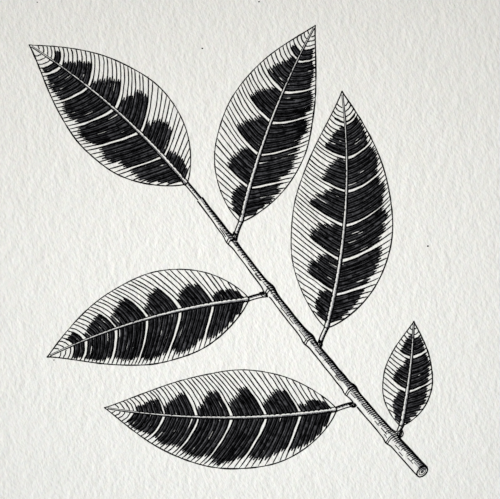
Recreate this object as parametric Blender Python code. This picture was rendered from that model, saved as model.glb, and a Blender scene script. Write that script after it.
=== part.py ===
"""A small square sheet of heavy cold-press watercolour paper, lying face up.

The sheet is one piece. It lies flat in the middle, and its four corners curl up a little, as the
corners of a sheet do once it is cut from its pad. Each curl bends along straight lines across the
corner, because paper bends in one direction at a time and doesn't stretch.

Metres, +Z up. The origin is on the underside, at the middle of the sheet. The top edge of the
drawing is towards +Y.
"""

import math

import bmesh
import bpy
from mathutils import Vector

# The sheet, as cut
SHEET_SIDE = 0.127
SHEET_THICKNESS = 0.00055
CORNER_RADIUS = 0.0006
CORNER_SEGMENTS = 3

# The curl of the corners: distances run from the sheet's middle along its diagonals
FLAT_REACH = 0.060
CORNER_REACH = SHEET_SIDE / math.sqrt(2)
CURL_BENDS = 9
CORNER_LIFT = {
    (1, 1): 0.0012,
    (-1, 1): 0.0006,
    (-1, -1): 0.0016,
    (1, -1): 0.0005,
}

# Paper as the eye sees it: a neutral, faintly warm white with no gloss
PAPER_COLOUR = (0.83, 0.83, 0.79, 1.0)
PAPER_ROUGHNESS = 0.92


def clear_scene():
    """Empties the scene, so that it holds the sheet alone."""
    for old in list(bpy.data.objects):
        bpy.data.objects.remove(old, do_unlink=True)


def paper_material():
    """Uncoated rag paper: pale and quite matt."""
    paper = bpy.data.materials.new("paper")
    paper.use_nodes = True
    shader = paper.node_tree.nodes["Principled BSDF"]
    shader.inputs["Base Color"].default_value = PAPER_COLOUR
    shader.inputs["Roughness"].default_value = PAPER_ROUGHNESS
    shader.inputs["Metallic"].default_value = 0.0
    paper.diffuse_color = PAPER_COLOUR
    return paper


def diagonal(corner):
    """The direction from the sheet's middle to one of its corners."""
    return Vector((corner[0], corner[1], 0.0)).normalized()


def cut_plate(mesh):
    """The sheet as a flat plate, with its four upright edges rounded a little by handling."""
    bmesh.ops.create_cube(mesh, size=1.0)
    bmesh.ops.scale(mesh, verts=mesh.verts, vec=(SHEET_SIDE, SHEET_SIDE, SHEET_THICKNESS))
    bmesh.ops.translate(mesh, verts=mesh.verts, vec=(0.0, 0.0, SHEET_THICKNESS / 2))
    upright = [
        edge for edge in mesh.edges
        if abs(edge.verts[0].co.z - edge.verts[1].co.z) > SHEET_THICKNESS / 2
    ]
    bmesh.ops.bevel(
        mesh,
        geom=upright,
        offset=CORNER_RADIUS,
        offset_type="OFFSET",
        segments=CORNER_SEGMENTS,
        profile=0.5,
        affect="EDGES",
    )


def score_bends(mesh):
    """Cuts the lines that each corner bends along, square to its diagonal."""
    for corner in CORNER_LIFT:
        outward = diagonal(corner)
        for bend in range(CURL_BENDS):
            reach = FLAT_REACH + (CORNER_REACH - FLAT_REACH) * bend / CURL_BENDS
            bmesh.ops.bisect_plane(
                mesh,
                geom=mesh.verts[:] + mesh.edges[:] + mesh.faces[:],
                plane_co=outward * reach,
                plane_no=outward,
                dist=1e-7,
            )


def curl_height(point):
    """How far the curl lifts the paper at a point: nothing in the middle, and more towards a corner."""
    height = 0.0
    for corner, lift in CORNER_LIFT.items():
        past_flat = point.dot(diagonal(corner)) - FLAT_REACH
        share = max(0.0, past_flat / (CORNER_REACH - FLAT_REACH))
        height += lift * share**2
    return height


def curl_corners(mesh):
    """Lifts both faces of the sheet by the same height, which keeps its thickness."""
    for vert in mesh.verts:
        vert.co.z += curl_height(Vector((vert.co.x, vert.co.y, 0.0)))


def make_sheet():
    """The sheet of paper, as one closed solid."""
    shape = bmesh.new()
    cut_plate(shape)
    score_bends(shape)
    curl_corners(shape)
    bmesh.ops.recalc_face_normals(shape, faces=shape.faces)
    mesh = bpy.data.meshes.new("sheet")
    shape.to_mesh(mesh)
    shape.free()
    mesh.materials.append(paper_material())
    sheet = bpy.data.objects.new("sheet", mesh)
    bpy.context.scene.collection.objects.link(sheet)
    return sheet


clear_scene()
make_sheet()
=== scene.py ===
"""Dresses a small square sheet of cold-press paper that carries a leafy twig drawn in black ink.

Metres. The sheet lies on its back with the drawn face up, and the top of the drawing is towards +Y.
"""

import math

import bmesh
import bpy
import numpy as np
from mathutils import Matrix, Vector


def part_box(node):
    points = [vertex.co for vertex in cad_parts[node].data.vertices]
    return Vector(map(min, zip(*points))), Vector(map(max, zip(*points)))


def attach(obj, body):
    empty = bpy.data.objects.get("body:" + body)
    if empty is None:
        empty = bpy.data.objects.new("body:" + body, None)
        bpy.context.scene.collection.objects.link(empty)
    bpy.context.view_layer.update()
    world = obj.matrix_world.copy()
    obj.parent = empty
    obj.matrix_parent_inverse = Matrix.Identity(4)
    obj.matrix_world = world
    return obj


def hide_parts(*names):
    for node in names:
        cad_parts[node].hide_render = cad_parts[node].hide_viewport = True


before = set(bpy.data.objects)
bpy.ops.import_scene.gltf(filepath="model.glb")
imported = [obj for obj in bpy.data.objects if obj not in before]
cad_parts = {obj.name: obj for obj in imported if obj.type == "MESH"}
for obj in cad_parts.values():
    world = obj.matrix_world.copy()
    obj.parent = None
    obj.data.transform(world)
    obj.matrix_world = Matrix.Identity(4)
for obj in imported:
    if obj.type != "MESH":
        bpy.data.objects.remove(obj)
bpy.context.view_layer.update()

MM = 0.001

# The sheet of paper: rag pulp pressed between woollen felts, which leave short ridges that lean to the
# left, and then cut square by a guillotine. It is one piece of about 300 g/m2 and lies flat, except at
# its corners, which have curled up a little since it was cut. Its cut edges are worn round.
SHEET_LOW, SHEET_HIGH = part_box("sheet")
SHEET_SIDE = SHEET_HIGH.x - SHEET_LOW.x
SHEET_THICKNESS = 0.55 * MM
CORNER_RADIUS = 0.6 * MM
CORNER_CUTS = 3
RIM_WEAR = 0.06 * MM
FLAT_REACH = 60 * MM
CORNER_REACH = SHEET_SIDE / math.sqrt(2)
CORNER_LIFT = {(1, 1): 1.2 * MM, (-1, 1): 0.6 * MM, (-1, -1): 1.6 * MM, (1, -1): 0.5 * MM}
BACK_BENDS = 12
EDGE_LAYERS = 3
CELL_ACROSS = 0.31 * MM
CELL_ALONG = 0.62 * MM
RIDGE_LEAN = math.radians(26)
RIDGE_WIDTH = 0.94 * MM
RIDGE_LENGTH = 1.4 * MM
RIDGE_HEIGHT = 0.15 * MM
SWELL_SIZE = 2.6 * MM
SWELL_HEIGHT = 0.11 * MM
STREAK_SIZE = (0.56 * MM, 0.88 * MM, 0.56 * MM)
STREAK_DEPTH = 0.118 * MM
TOOTH_SIZE = 0.16 * MM
TOOTH_DEPTH = 0.012 * MM
PULP_CLOUD = 7 * MM
TINT_SIZE = 0.9 * MM
# Where the painted warm light on the paper begins, below the middle; it grows stronger up to the top edge.
WARM_LIGHT_FROM = -40 * MM
FRAY_SIZE = 0.7 * MM
FRAY_HEIGHT = 0.05 * MM
FIBRE_LAYER = (0.4 * MM, 0.4 * MM, 0.07 * MM)
FIBRE_DEPTH = 0.05 * MM


def select_back(piece):
    """Selects the faces of the sheet's back, which lie flat at the bottom."""
    bpy.ops.mesh.select_all(action="DESELECT")
    shape = bmesh.from_edit_mesh(piece.data)
    for face in shape.faces:
        if face.calc_center_median().z < RIM_WEAR / 2 and abs(face.normal.z) > 0.99:
            face.select_set(True)
    bmesh.update_edit_mesh(piece.data)


def round_corner(side_x, side_y):
    """Trims one corner of the flat sheet to its small radius, a straight snip at a time."""
    middle = SHEET_SIDE / 2 - CORNER_RADIUS
    half_step = math.pi / 4 / CORNER_CUTS
    for cut in range(CORNER_CUTS):
        angle = half_step * (2 * cut + 1)
        outward = (side_x * math.cos(angle), side_y * math.sin(angle), 0)
        reach = CORNER_RADIUS * math.cos(half_step)
        bpy.ops.mesh.select_all(action="SELECT")
        bpy.ops.mesh.bisect(
            plane_co=(side_x * middle + outward[0] * reach, side_y * middle + outward[1] * reach, 0),
            plane_no=outward,
            clear_outer=True,
            threshold=1e-7,
        )


def curl_height(x, y):
    """How far the curled corners lift the paper at a point of the flat sheet."""
    height = 0
    for (side_x, side_y), lift in CORNER_LIFT.items():
        past_flat = (side_x * x + side_y * y) / math.sqrt(2) - FLAT_REACH
        height += lift * max(0, past_flat / (CORNER_REACH - FLAT_REACH)) ** 2
    return height


def press_felt(piece, width, length, height, seed, group, direction="Z"):
    """Raises soft ridges on a group of the paper's points, each ridge about one width by one length."""
    felt = bpy.data.textures.new("felt", type="CLOUDS")
    felt.noise_basis = "IMPROVED_PERLIN"
    felt.noise_scale = 1
    felt.noise_depth = 1
    bpy.ops.object.empty_add(location=(seed * MM, seed * MM, seed * MM), rotation=(0, 0, RIDGE_LEAN))
    guide = bpy.context.object
    guide.scale = (width, length, width)
    press = piece.modifiers.new("felt", "DISPLACE")
    press.texture = felt
    press.texture_coords = "OBJECT"
    press.texture_coords_object = guide
    press.direction = direction
    press.strength = height
    press.vertex_group = group
    bpy.context.view_layer.update()
    bpy.ops.object.select_all(action="DESELECT")
    bpy.context.view_layer.objects.active = piece
    bpy.ops.object.modifier_apply(modifier=press.name)
    bpy.data.objects.remove(guide)
    bpy.data.textures.remove(felt)


def hex_colour(code):
    """An sRGB hex colour as the linear colour that a shader takes."""
    parts = [int(code[i:i + 2], 16) / 255 for i in (1, 3, 5)]
    return [p / 12.92 if p <= 0.04045 else ((p + 0.055) / 1.055) ** 2.4 for p in parts] + [1]


def add_node(material, kind, settings=(), values=(), **links):
    """Adds a shader node, with its settings, its socket values and the sockets that feed it."""
    node = material.node_tree.nodes.new(kind)
    for name, value in dict(settings).items():
        setattr(node, name, value)
    for name, value in dict(values).items():
        node.inputs[name].default_value = value
    for name, source in links.items():
        material.node_tree.links.new(source, node.inputs[name.replace("_", " ")])
    return node


def new_material(name):
    """Makes a material and returns it with its shader."""
    material = bpy.data.materials.new(name)
    material.use_nodes = True
    shader = material.node_tree.nodes["Principled BSDF"]
    return material, shader


def grain_bump(material, shader):
    """Adds the felt's finest streaks and the paper's tooth as bump, and returns the place they read."""
    place = add_node(material, "ShaderNodeTexCoord").outputs["Object"]
    turned = add_node(
        material, "ShaderNodeMapping", {"vector_type": "TEXTURE"},
        {"Rotation": (0, 0, RIDGE_LEAN), "Scale": STREAK_SIZE}, Vector=place)
    streaks = add_node(
        material, "ShaderNodeTexNoise", values={"Scale": 1, "Detail": 1.5, "Roughness": 0.5},
        Vector=turned.outputs["Vector"])
    fine = add_node(
        material, "ShaderNodeMapping", {"vector_type": "TEXTURE"},
        {"Scale": (TOOTH_SIZE, TOOTH_SIZE, TOOTH_SIZE)}, Vector=place)
    tooth = add_node(
        material, "ShaderNodeTexNoise", values={"Scale": 1, "Detail": 2, "Roughness": 0.6},
        Vector=fine.outputs["Vector"])
    pressed = add_node(
        material, "ShaderNodeBump", values={"Strength": 1, "Distance": STREAK_DEPTH},
        Height=streaks.outputs["Fac"])
    toothed = add_node(
        material, "ShaderNodeBump", values={"Strength": 1, "Distance": TOOTH_DEPTH},
        Height=tooth.outputs["Fac"], Normal=pressed.outputs["Normal"])
    material.node_tree.links.new(toothed.outputs["Normal"], shader.inputs["Normal"])
    return place


bpy.ops.object.select_all(action="DESELECT")
bpy.ops.mesh.primitive_grid_add(
    x_subdivisions=round(SHEET_SIDE / CELL_ACROSS),
    y_subdivisions=round(SHEET_SIDE / CELL_ALONG),
    size=SHEET_SIDE,
    location=(0, 0, SHEET_THICKNESS),
    enter_editmode=False,
)
paper = bpy.context.object
paper.name = "paper_sheet"
bpy.ops.object.transform_apply(location=True, rotation=False, scale=False)
bpy.ops.object.mode_set(mode="EDIT")
bpy.ops.mesh.select_mode(type="EDGE")
for side_x, side_y in CORNER_LIFT:
    round_corner(side_x, side_y)

# The edge goes down in bands, the outer two of which are the worn rims.
bpy.ops.mesh.select_all(action="SELECT")
bpy.ops.mesh.region_to_loop()
worn = 1 - RIM_WEAR / (SHEET_SIDE / 2)
bpy.ops.transform.resize(value=(worn, worn, 1), center_override=(0, 0, 0))
layer = (SHEET_THICKNESS - 2 * RIM_WEAR) / EDGE_LAYERS
for drop, spread in [(RIM_WEAR, 1 / worn), *[(layer, 1)] * EDGE_LAYERS, (RIM_WEAR, worn)]:
    bpy.ops.mesh.extrude_region_move(TRANSFORM_OT_translate={"value": (0, 0, -drop)})
    bpy.ops.transform.resize(value=(spread, spread, 1), center_override=(0, 0, 0))
bpy.ops.mesh.edge_face_add()

# The back needs no more than the lines that its corners bend along.
bpy.ops.mesh.select_mode(type="FACE")
for side_x, side_y in CORNER_LIFT:
    for bend in range(BACK_BENDS):
        reach = FLAT_REACH + (CORNER_REACH - FLAT_REACH) * bend / BACK_BENDS
        out = reach / math.sqrt(2)
        select_back(paper)
        bpy.ops.mesh.bisect(
            plane_co=(side_x * out, side_y * out, 0), plane_no=(side_x, side_y, 0), threshold=1e-7)
bpy.ops.mesh.select_all(action="SELECT")
bpy.ops.mesh.normals_make_consistent(inside=False)
bpy.ops.object.mode_set(mode="OBJECT")

# The drawn face takes the felt's ridges and its broader swells, and the cut edge is a little frayed.
drawn_face = paper.vertex_groups.new(name="drawn face")
cut_edge = paper.vertex_groups.new(name="cut edge")
for vertex in paper.data.vertices:
    if vertex.co.z > SHEET_THICKNESS - RIM_WEAR / 2:
        drawn_face.add([vertex.index], 1, "REPLACE")
    elif vertex.co.z > RIM_WEAR / 2:
        cut_edge.add([vertex.index], 1, "REPLACE")
for face in paper.data.polygons:
    face.material_index = 1 if abs(face.normal.z) < 0.5 else 0
press_felt(paper, RIDGE_WIDTH, RIDGE_LENGTH, RIDGE_HEIGHT, 3, "drawn face")
press_felt(paper, SWELL_SIZE, SWELL_SIZE, SWELL_HEIGHT, 8, "drawn face")
press_felt(paper, FRAY_SIZE, FRAY_SIZE, FRAY_HEIGHT, 5, "cut edge", "NORMAL")
for vertex in paper.data.vertices:
    vertex.co.z += curl_height(vertex.co.x, vertex.co.y)
bpy.ops.object.select_all(action="DESELECT")
paper.select_set(True)
bpy.context.view_layer.objects.active = paper
bpy.ops.object.shade_smooth_by_angle(angle=math.radians(35))

# Uncoated rag paper, sized with gelatine: a matt white that is faintly warm, with no gloss. It is a little
# greyer where the pulp lies thin, and its fibres differ in tint, which is drawn coarse enough to show. From
# below the middle up to the top edge the colour is painted a little warmer and darker: painted warm light.
paper_finish, shader = new_material("cold-press rag paper")
place = grain_bump(paper_finish, shader)
cloudy = add_node(
    paper_finish, "ShaderNodeTexNoise", values={"Scale": 1 / PULP_CLOUD, "Detail": 3, "Roughness": 0.55},
    Vector=place)
pulp = add_node(
    paper_finish, "ShaderNodeMix", {"data_type": "RGBA"},
    {"A": hex_colour("#efefe9"), "B": hex_colour("#f4f4f0")}, Factor=cloudy.outputs["Fac"])
fibre_tint = add_node(
    paper_finish, "ShaderNodeTexNoise", values={"Scale": 1 / TINT_SIZE, "Detail": 3, "Roughness": 0.8},
    Vector=place)
tinted = add_node(
    paper_finish, "ShaderNodeMix", {"data_type": "RGBA", "blend_type": "LINEAR_LIGHT"}, {"Factor": 0.07},
    A=pulp.outputs["Result"], B=fibre_tint.outputs["Color"])
# Painted warm light: the colour grows warmer and a little darker from below the middle up to the top edge.
height = add_node(paper_finish, "ShaderNodeSeparateXYZ", Vector=place)
painted_warm_light_ramp = add_node(
    paper_finish, "ShaderNodeMapRange", values={"From Min": WARM_LIGHT_FROM, "From Max": SHEET_SIDE / 2},
    Value=height.outputs["Y"])
painted_warm_light = add_node(
    paper_finish, "ShaderNodeMix", {"data_type": "RGBA", "blend_type": "MULTIPLY"},
    {"B": hex_colour("#fdfbf9")}, Factor=painted_warm_light_ramp.outputs["Result"], A=tinted.outputs["Result"])
paper_finish.node_tree.links.new(painted_warm_light.outputs["Result"], shader.inputs["Base Color"])
shader.inputs["Roughness"].default_value = 0.92
shader.inputs["Specular IOR Level"].default_value = 0.15

# The guillotine left the pulp bare on the edge. Its fibres lie in layers there, so the edge is rougher than
# the faces and its white is uneven.
edge_finish, shader = new_material("cut edge of rag paper")
place = add_node(edge_finish, "ShaderNodeTexCoord").outputs["Object"]
layered = add_node(
    edge_finish, "ShaderNodeMapping", {"vector_type": "TEXTURE"}, {"Scale": FIBRE_LAYER}, Vector=place)
fibres = add_node(
    edge_finish, "ShaderNodeTexNoise", values={"Scale": 1, "Detail": 2, "Roughness": 0.6},
    Vector=layered.outputs["Vector"])
bare_pulp = add_node(
    edge_finish, "ShaderNodeMix", {"data_type": "RGBA"},
    {"A": hex_colour("#dfded6"), "B": hex_colour("#f6f6f0")}, Factor=fibres.outputs["Fac"])
edge_finish.node_tree.links.new(bare_pulp.outputs["Result"], shader.inputs["Base Color"])
torn = add_node(
    edge_finish, "ShaderNodeBump", values={"Strength": 1, "Distance": FIBRE_DEPTH},
    Height=fibres.outputs["Fac"])
edge_finish.node_tree.links.new(torn.outputs["Normal"], shader.inputs["Normal"])
shader.inputs["Roughness"].default_value = 0.95
shader.inputs["Specular IOR Level"].default_value = 0.1
paper.data.materials.append(paper_finish)
paper.data.materials.append(edge_finish)
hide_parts("sheet")
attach(paper, "root")

# The twig: the first thing drawn, in the middle of the sheet, with a fine pen that holds pigment ink. Its
# upper side is one thin line and its lower side is a heavy one, with short curved strokes that round it.
hand = np.random.default_rng(7)

# A stroke has a point at each step. Its round ends reach on by a share of its width, and narrow to a share.
STROKE_STEP = 0.32 * MM
END_REACH = 0.32
END_WIDTH = 0.55

# The pen's ink runs thick and thin, and thinned ink pools, over stretches of about these lengths.
INK_FLOW = 0.5 * MM
INK_POOL = 0.9 * MM

# The ink lies in the paper's face as closed films, whose tops stand a hair over it: the pen lines highest,
# and the thinned inks under them.
INK_FILM = 0.03 * MM
INK_STANDS = 0.020 * MM
WASH_STANDS = 0.013 * MM
PALE_STANDS = 0.010 * MM


def arc_lengths(points):
    """How far along a stroke each of its points is."""
    return np.concatenate([[0], np.cumsum(np.linalg.norm(np.diff(points, axis=0), axis=1))])


def unit_across(points):
    """The directions square to a line of points, to its left."""
    along = np.gradient(points, axis=0)
    along /= np.linalg.norm(along, axis=1)[:, None] + 1e-12
    return np.c_[-along[:, 1], along[:, 0]]


def unsteady(count, amount, knot_gap=6):
    """The slow wander of a drawing hand, one value a point."""
    knots = hand.normal(0, amount, max(3, count // knot_gap + 2))
    place = np.linspace(0, len(knots) - 1, count)
    before = np.minimum(place.astype(int), len(knots) - 2)
    ease = (place - before) ** 2 * (3 - 2 * (place - before))
    return knots[before] * (1 - ease) + knots[before + 1] * ease


def within(points, outline):
    """Which points lie inside a closed outline."""
    x, y = points.T
    found = np.zeros(len(points), bool)
    for (ax, ay), (bx, by) in zip(outline, np.roll(outline, -1, axis=0)):
        if ay == by:
            continue
        crosses = (ay > y) != (by > y)
        found ^= crosses & (x < (bx - ax) * (y - ay) / (by - ay) + ax)
    return found


class Inking:
    """The strokes that one part of the drawing is made of, each a line of points with its widths."""

    def __init__(self):
        self.strokes = []

    def stroke(self, points, widths, behind=(), keep_in=None):
        """Adds a stroke in even steps, and lifts the pen where it passes behind something."""
        points = np.asarray(points, float)
        widths = np.broadcast_to(widths, len(points))
        reach = arc_lengths(points)
        count = max(3, math.ceil(reach[-1] / STROKE_STEP) + 1)
        even = np.linspace(0, reach[-1], count)
        points = np.c_[np.interp(even, reach, points[:, 0]), np.interp(even, reach, points[:, 1])]
        widths = np.interp(even, reach, widths)
        seen = np.ones(count, bool)
        for outline in behind:
            seen &= ~within(points, outline)
        if keep_in is not None:
            seen &= within(points, keep_in)
        start = None
        for i, shown in enumerate([*seen, False]):
            if shown and start is None:
                start = i
            if not shown and start is not None:
                if i - start >= 3:
                    self.strokes.append((points[start:i], widths[start:i]))
                start = None


def round_ends(points, widths):
    """Gives a stroke the small round ends of a pen point."""
    first = points[0] - points[1]
    last = points[-1] - points[-2]
    first *= END_REACH * widths[0] / (np.linalg.norm(first) + 1e-12)
    last *= END_REACH * widths[-1] / (np.linalg.norm(last) + 1e-12)
    points = np.vstack([points[0] + first, points, points[-1] + last])
    widths = np.concatenate([[widths[0] * END_WIDTH], widths, [widths[-1] * END_WIDTH]])
    return points, widths


def lay_ink(name, inking, finish, stands, points_across=2):
    """Draws strokes with a flat nib and lays them on the paper, as one thin film that follows its grain."""
    bpy.ops.object.select_all(action="DESELECT")
    nib_line = bpy.data.curves.new("nib", "CURVE")
    nib_line.dimensions = "2D"
    edge = nib_line.splines.new("POLY")
    edge.points.add(points_across - 1)
    for i, point in enumerate(edge.points):
        point.co = (MM * (i / (points_across - 1) - 0.5), 0, 0, 1)
    nib = bpy.data.objects.new("nib", nib_line)
    bpy.context.scene.collection.objects.link(nib)
    drawing = bpy.data.curves.new(name, "CURVE")
    drawing.dimensions = "3D"
    drawing.twist_mode = "Z_UP"
    drawing.bevel_mode = "OBJECT"
    drawing.bevel_object = nib
    for points, widths in inking.strokes:
        points, widths = round_ends(points, widths)
        spline = drawing.splines.new("POLY")
        spline.points.add(len(points) - 1)
        flat = np.c_[points, np.full(len(points), SHEET_THICKNESS), np.ones(len(points))]
        spline.points.foreach_set("co", flat.ravel())
        spline.points.foreach_set("radius", widths / MM)
    film = bpy.data.objects.new(name, drawing)
    bpy.context.scene.collection.objects.link(film)
    film.select_set(True)
    bpy.context.view_layer.objects.active = film
    bpy.ops.object.convert(target="MESH")
    film = bpy.context.object
    bpy.data.objects.remove(nib)
    if film.data.polygons[0].normal.z < 0:
        film.data.flip_normals()
    lie = film.modifiers.new("lie on the paper", "SHRINKWRAP")
    lie.target = paper
    lie.wrap_method = "PROJECT"
    lie.use_project_z = True
    lie.use_negative_direction = True
    lie.use_positive_direction = True
    bpy.ops.object.modifier_apply(modifier=lie.name)
    for vertex in film.data.vertices:
        vertex.co.z += stands
    body = film.modifiers.new("film", "SOLIDIFY")
    body.thickness = INK_FILM
    body.offset = -1
    bpy.ops.object.modifier_apply(modifier=body.name)
    film.data.materials.clear()
    film.data.materials.append(finish)
    return film


# Pigment ink: carbon black with hardly any gloss. It dries in the paper's face as a film much thinner than
# the grain is high, so the grain shows through it. It ran unevenly from the pen, so a stroke isn't equally
# black all along.
ink_line, shader = new_material("pigment ink pen line")
place = grain_bump(ink_line, shader)
flow = add_node(
    ink_line, "ShaderNodeTexNoise", values={"Scale": 1 / INK_FLOW, "Detail": 2, "Roughness": 0.6},
    Vector=place)
ran_thin = add_node(
    ink_line, "ShaderNodeMapRange", values={"From Min": 0.42, "From Max": 0.72}, Value=flow.outputs["Fac"])
black = add_node(
    ink_line, "ShaderNodeMix", {"data_type": "RGBA"},
    {"A": hex_colour("#020202"), "B": hex_colour("#131315")}, Factor=ran_thin.outputs["Result"])
ink_line.node_tree.links.new(black.outputs["Result"], shader.inputs["Base Color"])
shader.inputs["Roughness"].default_value = 0.85
shader.inputs["Specular IOR Level"].default_value = 0.004

# Thinned ink: the same pigment let down with water, which dries to an uneven charcoal between the strokes,
# and let down further for the shaded sides of the twig, the stalks and the midribs.
thinned = []
for finish_name, deep, pale in [
        ("pigment ink thinned wash", "#1a1a1c", "#535356"), ("pigment ink pale wash", "#6c6c70", "#a8a8a9")]:
    wash_finish, shader = new_material(finish_name)
    place = grain_bump(wash_finish, shader)
    pools = add_node(
        wash_finish, "ShaderNodeTexNoise", values={"Scale": 1 / INK_POOL, "Detail": 2, "Roughness": 0.6},
        Vector=place)
    spread_out = add_node(
        wash_finish, "ShaderNodeMapRange", values={"From Min": 0.32, "From Max": 0.68},
        Value=pools.outputs["Fac"])
    pooled = add_node(
        wash_finish, "ShaderNodeMix", {"data_type": "RGBA"}, {"A": hex_colour(deep), "B": hex_colour(pale)},
        Factor=spread_out.outputs["Result"])
    wash_finish.node_tree.links.new(pooled.outputs["Result"], shader.inputs["Base Color"])
    shader.inputs["Roughness"].default_value = 0.9
    shader.inputs["Specular IOR Level"].default_value = 0.03
    thinned.append(wash_finish)
ink_wash, ink_pale = thinned

TWIG_FOOT = np.array([31, -40]) * MM
TWIG_BEND = np.array([14, -22]) * MM
TWIG_TIP = np.array([-9, 9]) * MM
TWIG_FOOT_RADIUS = 1.15 * MM
TWIG_TIP_RADIUS = 0.5 * MM
TWIG_POINTS = 220
STALK_POINTS = 24
STALK_REACH = 4.6 * MM
STALK_HALF = 0.34 * MM

# The knuckles stand at these shares of the twig's length, each a short swelling.
KNUCKLES = [0.16, 0.36, 0.55, 0.72, 0.88]
KNUCKLE_SWELL = 0.28 * MM
KNUCKLE_SPREAD = 0.013

# The twig's and the stalks' two side lines, each with its side and pen width.
TWIG_LINES = [(1, 0.24 * MM), (-1, 0.40 * MM)]
STALK_LINES = [(1, 0.22 * MM), (-1, 0.32 * MM)]

# The streaks of pale wash on the twig's shaded side, each with its place across it and its width.
TWIG_STREAKS = [(-0.72, 0.42 * MM), (-0.36, 0.30 * MM), (-0.08, 0.2 * MM)]

# The strokes that round the twig stand this far apart and bow forward by this much. Fine flecks lie between.
ROUNDING_STEP = 0.46 * MM
ROUNDING_BOW = 0.45 * MM
ROUNDING_WIDTHS = (0.30 * MM, 0.13 * MM)
BARK_FLECKS = 34
FLECK_WIDTH = 0.14 * MM
KNUCKLE_LINE_WIDTH = 0.18 * MM

# The rings of the cut foot, each with its size and pen width, and how flat the slant makes them.
FOOT_RINGS = [(1, 0.26 * MM), (0.62, 0.14 * MM), (0.22, 0.2 * MM)]
FOOT_SLANT = 0.62
BUD_BULGES = (-0.36, -0.15, 0.08, 0.36)
BUD_LINE_WIDTH = 0.2 * MM


def broken(count, gap_chance):
    """Which points of a stroke are drawn, when the pen lifts now and then."""
    drawn = np.ones(count, bool)
    if hand.random() < gap_chance:
        start = hand.integers(0, count)
        drawn[start:start + hand.integers(2, max(3, count // 3))] = False
    return drawn


def runs(drawn):
    """The unbroken stretches of a stroke, as pairs of start and end."""
    edges = np.flatnonzero(np.diff(np.r_[0, drawn.astype(int), 0]))
    return [(a, b) for a, b in zip(edges[::2], edges[1::2]) if b - a > 2]


def twig_middle(share):
    """Points on the twig's middle line, from its cut foot to its tip."""
    share = np.atleast_1d(share)[:, None]
    return (1 - share) ** 2 * TWIG_FOOT + 2 * share * (1 - share) * TWIG_BEND + share ** 2 * TWIG_TIP


def twig_radius(share):
    """The twig's half width, which swells at each knuckle where a leaf stands."""
    radius = TWIG_FOOT_RADIUS + (TWIG_TIP_RADIUS - TWIG_FOOT_RADIUS) * share
    for knuckle in KNUCKLES:
        radius = radius + KNUCKLE_SWELL * np.exp(-(((share - knuckle) / KNUCKLE_SPREAD) ** 2))
    return radius


def twig_way(place):
    """A short step along the twig at a place on it."""
    before, after = twig_middle([place - 0.002, place + 0.002])
    return after - before


def leaf_heading(place, side, spread):
    """The direction that a leaf points in, which its spread turns away from the twig's."""
    along = twig_way(place)
    return math.atan2(along[1], along[0]) + (side or 1) * math.radians(spread)


def stalk_line(place, heading, reach):
    """A leaf stalk's middle line: it leaves the twig slantwise and bends over to the leaf's own heading."""
    root = twig_middle(place)[0]
    along = twig_way(place)
    along /= np.linalg.norm(along)
    out = np.array([math.cos(heading), math.sin(heading)])
    elbow = root + 0.35 * reach * (0.6 * along + 0.4 * out)
    share = np.linspace(0, 1, STALK_POINTS)[:, None]
    return (1 - share) ** 2 * root + 2 * share * (1 - share) * elbow + share ** 2 * (root + reach * out)


def band_outline(line, half):
    """The closed outline of a band of the given half width round a middle line."""
    across = unit_across(line)
    half = np.broadcast_to(half, len(line))[:, None]
    return np.vstack([line + half * across, (line - half * across)[::-1]])


# Each leaf's place along the twig, the side that it stands on, how far it spreads in degrees, its length and
# half width in millimetres, how far it bends in degrees, and its shaded side. The first stands at the tip.
LEAVES = [
    (0.99, 0, 3, 38, 8.6, 18, 1),
    (0.86, -1, 50, 38, 8.0, -16, -1),
    (0.70, 1, 58, 38, 8.0, 20, 1),
    (0.50, -1, 54, 43, 9.0, 22, -1),
    (0.30, 1, 58, 42, 8.8, -18, 1),
    (0.13, -1, 54, 19, 4.4, 10, -1),
]
stalks = [
    stalk_line(place, leaf_heading(place, side, spread), STALK_REACH * (0.5 + length / 80))
    for place, side, spread, length, *_ in LEAVES
]
stalk_outlines = [band_outline(line, STALK_HALF) for line in stalks]

twig_share = np.linspace(0, 1, TWIG_POINTS)
twig_line = twig_middle(twig_share)
twig_across = unit_across(twig_line)
twig_half = twig_radius(twig_share)
twig_outline = band_outline(twig_line, twig_half)
twig_along = np.c_[twig_across[:, 1], -twig_across[:, 0]]
twig_length = arc_lengths(twig_line)[-1]
twig = Inking()
for side, width in TWIG_LINES:
    edge = twig_line + side * (twig_half + unsteady(TWIG_POINTS, 0.03 * MM))[:, None] * twig_across
    twig.stroke(edge, width * (1 + unsteady(TWIG_POINTS, 0.12)), stalk_outlines)


def twig_spot(share, out, ahead=0):
    """Points on the twig's bark, out across its half width and ahead of their place by a distance."""
    share = np.clip(np.atleast_1d(share) + ahead / twig_length, 0, 1)
    x, y, across_x, across_y, half = (
        np.interp(share, twig_share, row) for row in (*twig_line.T, *twig_across.T, twig_half))
    return np.c_[x, y] + (out * half)[:, None] * np.c_[across_x, across_y]


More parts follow.
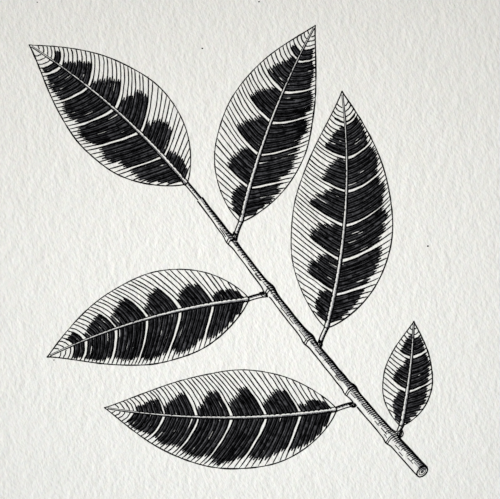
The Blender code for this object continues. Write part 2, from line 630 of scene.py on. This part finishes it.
shading = Inking()
for out, width in TWIG_STREAKS:
    for a, b in runs(broken(TWIG_POINTS, 1)):
        narrowed = width * (1 + unsteady(b - a, 0.25)) * twig_half[a:b] / TWIG_FOOT_RADIUS
        shading.stroke(twig_line[a:b] + (out * twig_half[a:b])[:, None] * twig_across[a:b], narrowed)
for share in np.arange(0.012, 0.985, ROUNDING_STEP / twig_length):
    out = np.linspace(-1, hand.uniform(-0.5, 0.25), 9)
    twig.stroke(twig_spot(share, out, ROUNDING_BOW * (1 - out ** 2)), np.linspace(*ROUNDING_WIDTHS, 9))
for share in hand.uniform(0.03, 0.93, BARK_FLECKS):
    out = hand.uniform(-0.35, 0.6)
    run = np.linspace(0, hand.uniform(0.7, 1.8) * MM, 7)
    twig.stroke(twig_spot(share, np.full(7, out), run), FLECK_WIDTH)
for knuckle in KNUCKLES:
    for back in (0.1, 0.5):
        out = np.linspace(-0.95, 0.9, 12)
        twig.stroke(twig_spot(knuckle, out, (0.42 * (1 - out ** 2) - back) * MM), KNUCKLE_LINE_WIDTH)

# The twig's foot was cut aslant, and shows its ring of bark and its pith.
round_cut = np.linspace(0, 2 * math.pi, 40)
for size, width in FOOT_RINGS:
    out = size * np.cos(round_cut)
    twig.stroke(
        TWIG_FOOT + (out * twig_half[0])[:, None] * twig_across[0]
        - (FOOT_SLANT * size * twig_half[0] * np.sin(round_cut))[:, None] * twig_along[0],
        width)

# A bud sits where each stalk leaves the twig: a scale drawn with a few strokes from its foot to its point.
for place, side, *_ in LEAVES[1:]:
    point = twig_spot(place + 1.9 * MM / twig_length, np.array([side * 1.9]))[0]
    foot = twig_spot(place + 0.7 * MM / twig_length, np.array([side * 0.95]))[0]
    share = np.linspace(0, 1, 10)[:, None]
    run = point - foot
    out = np.array([-run[1], run[0]])
    for bulge in BUD_BULGES:
        twig.stroke(foot + share * run + bulge * 4 * share * (1 - share) ** 1.3 * out, BUD_LINE_WIDTH)

# Each stalk is rounded as the twig is, with finer strokes.
for line in stalks:
    across = unit_across(line)
    shading.stroke(line - 0.45 * STALK_HALF * across, 0.26 * MM, [twig_outline])
    for side, width in STALK_LINES:
        twig.stroke(line + side * STALK_HALF * across, width, [twig_outline])
    for share in np.linspace(0.3, 0.95, 9):
        at = int(share * (STALK_POINTS - 1))
        out = np.linspace(-1, hand.uniform(-0.5, 0.2), 5)[:, None]
        twig.stroke(line[at] + out * STALK_HALF * across[at], 0.16 * MM, [twig_outline])
ink_twig = lay_ink("ink_twig", twig, ink_line, INK_STANDS)
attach(ink_twig, "root")

# The leaves: each is an outline, a pale midrib between two lines, and a row of fine strokes on each side of
# it that curve forward to the margin. The strokes turn heavy in the shade, and a thinned ink fills between
# them there, except along the side veins, which stay as pale slits.
PEN_WIDTH = 0.205 * MM
HEAVY_PEN_WIDTH = 0.34 * MM
FILL_PEN_WIDTH = 0.17 * MM
STROKE_PITCH = 0.70 * MM
STROKE_SLANT = math.radians(52)
STROKES_A_VEIN = 7
HEAVY_TAPER = 0.12
HAND_WANDER = 0.034 * MM
WASH_REACH = 1.05 * MM
FILL_BREAK_CHANCE = 0.45
RIB_GAP = 0.1 * MM
RIB_LINE_WIDTH = 0.22 * MM
MARGIN_LINE_WIDTH = 0.19 * MM
RIB_ROUNDING_STEP = 0.9 * MM
RIB_ROUNDING_WIDTH = 0.12 * MM

# The first and last stroke and the end of the shade, as shares of a leaf's length.
FIRST_STROKE = 0.02
LAST_SHADE = 0.87
LAST_STROKE = 0.95

# A leaf's half width follows share ** FOOT_POWER * (1 - share) ** TIP_POWER, which rises to about LEAF_PEAK.
FOOT_POWER = 0.82
TIP_POWER = 1.12
LEAF_PEAK = 0.2629

# How many points each kind of line has.
LEAF_POINTS = 300
OUTLINE_POINTS = 90
STROKE_POINTS = 40
RIB_POINTS = 160
MARGIN_POINTS = 200


class Leaf:
    """One leaf as it is laid out before inking: a bending midrib with a margin on each side."""

    def __init__(self, foot, heading, length, half_width, bend, shaded):
        self.length = length
        self.half_width = half_width
        self.shaded = shaded
        self.share = np.linspace(0, 1, LEAF_POINTS)
        self.angle = heading + bend * self.share
        step = length / (LEAF_POINTS - 1)
        run = np.c_[np.cos(self.angle), np.sin(self.angle)] * step
        self.line = foot + np.vstack([[0, 0], np.cumsum((run[1:] + run[:-1]) / 2, axis=0)])

    def rib(self, share):
        """Points on the middle of the midrib, at shares of its length."""
        x = np.interp(share, self.share, self.line[:, 0])
        return np.c_[x, np.interp(share, self.share, self.line[:, 1])]

    def across(self, share):
        """The directions square to the midrib, to its left."""
        angle = np.interp(share, self.share, self.angle)
        return np.c_[-np.sin(angle), np.cos(angle)]

    def half(self, share, side):
        """How far the margin stands from the midrib, with the slight waves of a real leaf."""
        share = np.clip(share, 0, 1)
        shape = share ** FOOT_POWER * (1 - share) ** TIP_POWER / LEAF_PEAK
        ripple = 1 + 0.014 * np.sin(9 * share + side) + 0.005 * np.sin(23 * share + 2 * side)
        return self.half_width * shape * ripple * (1 + 0.05 * side)

    def spot(self, share, out, side):
        """Points on one side of the leaf, from the midrib at out 0 to the margin at out 1."""
        return self.rib(share) + side * (out * self.half(share, side))[:, None] * self.across(share)

    def rib_half(self, share):
        """The midrib's half width, which thins towards the tip."""
        return (0.30 * (1 - np.clip(share, 0, 1)) + 0.07) * MM

    def outline(self):
        """The closed line of the leaf's margin."""
        share, margin = np.linspace(0, 1, OUTLINE_POINTS), np.ones(OUTLINE_POINTS)
        return np.vstack([self.spot(share, margin, 1), self.spot(share, margin, -1)[::-1]])


def shade_reach(past_vein, shaded):
    """How far out a leaf's heavy strokes go, by their place from one side vein, at 0, to the next, at 1."""
    if shaded:
        return 0.76 + 0.18 * math.sin(math.pi * (0.12 + 0.7 * past_vein))
    return 0.34 + 0.36 * math.cos(math.pi * past_vein / 2)


def fill_between(line, other, filled, pen, wash, outline):
    """Darkens the gap between two heavy strokes with a wash that misses a few slivers, and a fine stroke."""
    line, other = line[filled], other[filled]
    gap = np.linalg.norm(line - other, axis=1)
    count = len(line)

    # The wash lies between the two strokes' middles. Now and then it misses up to a fifth of the gap more, on
    # one side, and it runs out towards the end.
    missed = np.clip(unsteady(count, 0.24, 8) - 0.17, 0, 0.20)
    tail = np.clip((count - 0.5 - np.arange(count)) / 4, 0.3, 1)
    low, high = 0.14, 0.86 - missed
    if hand.random() < 0.5:
        low, high = 1 - high, 1 - low
    middle = line * (1 - (low + high) / 2)[:, None] + other * ((low + high) / 2)[:, None]
    wash.stroke(middle, np.minimum(gap, WASH_REACH) * (high - low) * tail, keep_in=outline)

    # The fine stroke wanders along the middle of the gap, and is often broken.
    lean = 0.5 + hand.uniform(-0.10, 0.10) + unsteady(count, 0.045, 8)[:, None]
    over = line * lean + other * (1 - lean)
    for a, b in runs(broken(count, FILL_BREAK_CHANCE)):
        pen.stroke(over[a:b], FILL_PEN_WIDTH * (1 + unsteady(b - a, 0.2, 5)), keep_in=outline)


def draw_side(leaf, side, pen, wash, outline):
    """Inks one side of a leaf from its foot to its tip: a row of strokes, and the wash between heavy ones."""
    share, index, last = FIRST_STROKE, 0, None
    while share < LAST_STROKE:
        vein_step = index % STROKES_A_VEIN
        past_vein = vein_step / (STROKES_A_VEIN - 1)
        if vein_step == 0:
            shade = hand.uniform(-0.05, 0.05)

        # A stroke runs from beside the midrib to about the margin, and sweeps forward on its way.
        start = (leaf.rib_half(share) + RIB_GAP) / max(leaf.half(share + 0.03, side), 0.6 * MM)
        out = np.linspace(min(0.6, start), 1 + hand.normal(0, 0.008), STROKE_POINTS)
        sweep = (0.03 + 0.17 * min(1, share / 0.35)) * (1 - share) ** 0.8
        line = leaf.spot(share + sweep * out ** 1.35, out, side)
        line = line + unsteady(STROKE_POINTS, HAND_WANDER, 8)[:, None] * unit_across(line)
        reach = shade_reach(past_vein, side == leaf.shaded) + shade + hand.normal(0, 0.014)
        if share > LAST_SHADE:
            reach = 0

        # It is heavy as far as the shade reaches and fine beyond, and in the shade the gap between it and the
        # stroke before it is filled.
        heavy = out < reach
        if heavy.sum() > 2:
            beside_vein = 0.3 if vein_step in (0, STROKES_A_VEIN - 1) else 0
            width = HEAVY_PEN_WIDTH * min(1, 0.5 + leaf.half(share, side) / (5 * MM))
            width = width * (1 + unsteady(heavy.sum(), 0.08) + beside_vein * out[heavy])
            tapered = np.clip((reach - out[heavy]) / HEAVY_TAPER, 0, 1)
            pen.stroke(line[heavy], PEN_WIDTH + (width - PEN_WIDTH) * tapered, keep_in=outline)
        light = out > reach - 0.03
        if light.sum() > 2:
            width = PEN_WIDTH * (1 + hand.normal(0, 0.06) + unsteady(light.sum(), 0.10))
            pen.stroke(line[light], width * np.clip((out.max() - out[light]) / 0.06, 0.5, 1))
        if last is not None and vein_step != 0:
            filled = out < min(reach, last[1]) - abs(hand.normal(0.02, 0.02))
            if filled.sum() > 4:
                fill_between(line, last[0], filled, pen, wash, outline)

        last = line, reach
        narrower = 0.86 if vein_step == STROKES_A_VEIN - 1 else 1
        step = STROKE_PITCH / math.sin(STROKE_SLANT) / leaf.length
        share += step * narrower * (1 + hand.normal(0, 0.08))
        index += 1


def draw_rib_and_margin(leaf, pen, shading):
    """Inks a leaf's midrib and its margins, whose lines are heavier on the shaded side."""
    share = np.linspace(0, 0.985, RIB_POINTS)
    half, across = leaf.rib_half(share), leaf.across(share)
    for side in (1, -1):
        edge = leaf.rib(share) + side * (half + 0.04 * MM)[:, None] * across
        heavier = 1.3 if side == leaf.shaded else 0.85
        thinning = 1 - 0.45 * share ** 3
        pen.stroke(edge, RIB_LINE_WIDTH * heavier * thinning * (1 + unsteady(RIB_POINTS, 0.08)))
        margin = leaf.spot(np.linspace(0, 1, MARGIN_POINTS), np.ones(MARGIN_POINTS), side)
        heavier = 1.25 if side == leaf.shaded else 1
        pen.stroke(margin, MARGIN_LINE_WIDTH * heavier * (1 + unsteady(MARGIN_POINTS, 0.18, 5)))
    shading.stroke(
        leaf.rib(share) + leaf.shaded * 0.5 * half[:, None] * across, half * (1 + unsteady(RIB_POINTS, 0.15)))
    for share in np.arange(0.02, 0.6, RIB_ROUNDING_STEP / leaf.length):
        out = leaf.shaded * leaf.rib_half(share) * np.linspace(1, hand.uniform(0.1, 0.6), 4)
        pen.stroke(leaf.rib([share]) + out[:, None] * leaf.across([share]), RIB_ROUNDING_WIDTH)


for number, (place, side, spread, length, half_width, bend, shaded) in enumerate(LEAVES, 1):
    heading = leaf_heading(place, side, spread)
    leaf = Leaf(stalks[number - 1][-1], heading, length * MM, half_width * MM, math.radians(bend), shaded)
    pen, wash = Inking(), Inking()
    for leaf_side in (1, -1):
        draw_side(leaf, leaf_side, pen, wash, leaf.outline())
    draw_rib_and_margin(leaf, pen, shading)
    ink_leaf = lay_ink(f"ink_leaf_{number}", pen, ink_line, INK_STANDS)
    ink_fill = lay_ink(f"ink_wash_{number}", wash, ink_wash, WASH_STANDS, points_across=3)
    for film in (ink_leaf, ink_fill):
        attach(film, "root")

# The pale wash was brushed along the shaded sides of the twig, the stalks and the midribs, and is one film
# for all of them.
ink_shading = lay_ink("ink_shading", shading, ink_pale, PALE_STANDS)
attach(ink_shading, "root")

# Stray dots: the pen touched the paper here and there as the twig was drawn, and left small marks of the
# same ink. Each has its place on the sheet and its size, in millimetres.
SPECKS = [(-8.6, 36.2, 0.38), (1.6, 44.6, 0.30), (32.0, 0.6, 0.33), (-38.3, 44.5, 0.22), (-18.7, 16.8, 0.20),
          (-14.9, 21.9, 0.16), (-35.3, -19.9, 0.20), (52.1, -18.4, 0.2), (-55.0, 9.3, 0.16)]
specks = Inking()
for x, y, size in SPECKS:
    run = np.linspace(-0.25, 0.25, 3)[:, None] * size * MM * hand.normal(0.6, 0.3, 2)
    specks.strokes.append((np.array([x, y]) * MM + run, np.array([0.7, 1, 0.8]) * size * MM))
ink_specks = lay_ink("ink_specks", specks, ink_line, INK_STANDS)
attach(ink_specks, "root")

# The studio: a pale table top under the sheet, soft daylight all round it, and a broad lamp low on the left,
# which picks out the grain. The camera looks straight down.
FRAME_WIDTH = 90 * MM
SENSOR = 36
LENS = 140
TABLE_SIDE = 4
TABLE_GAP = 0.02 * MM
bpy.ops.object.select_all(action="DESELECT")
bpy.ops.mesh.primitive_plane_add(size=TABLE_SIDE, location=(0, 0, -TABLE_GAP))
table = bpy.context.object
table.name = "table_top"
table_finish, shader = new_material("painted table top")
shader.inputs["Base Color"].default_value = hex_colour("#d9d7d2")
shader.inputs["Roughness"].default_value = 0.8
table.data.materials.append(table_finish)

bpy.ops.object.camera_add(location=(0, 0, SHEET_THICKNESS + FRAME_WIDTH * LENS / SENSOR), rotation=(0, 0, 0))
camera = bpy.context.object
camera.data.lens = LENS
camera.data.sensor_width = SENSOR
camera.data.clip_start = 0.01
bpy.context.scene.camera = camera

# The lamps hang together and light one soft round pool, a little to the right of the middle and below it.
LAMP_SLOPE = math.radians(30)
LAMP_REACH = 1.8
POOL_MIDDLE = Vector((5 * MM, -11 * MM, 0))
POOL_RADIUS = 86 * MM


def aim_lamp(kind, energy):
    """Hangs a lamp on the left, aimed at the middle of its pool of light."""
    place = POOL_MIDDLE + LAMP_REACH * Vector((-math.cos(LAMP_SLOPE), 0, math.sin(LAMP_SLOPE)))
    bpy.ops.object.light_add(type=kind, location=place)
    lamp = bpy.context.object
    lamp.data.energy = energy
    lamp.rotation_euler = (POOL_MIDDLE - place).to_track_quat("-Z", "Y").to_euler()
    return lamp


broad = aim_lamp("AREA", energy=20)
broad.data.shape = "DISK"
broad.data.size = 0.5
spot = aim_lamp("SPOT", energy=80)
spot.data.spot_size = 2 * math.atan(POOL_RADIUS / LAMP_REACH)
spot.data.spot_blend = 1
spot.data.shadow_soft_size = 0.03
spot.scale = (1, math.sin(LAMP_SLOPE), 1)

world = bpy.data.worlds.new("daylight")
world.use_nodes = True
world.node_tree.nodes["Background"].inputs["Color"].default_value = hex_colour("#fdfeff")
world.node_tree.nodes["Background"].inputs["Strength"].default_value = 0.435
bpy.context.scene.world = world
bpy.context.scene.view_settings.view_transform = "Standard"
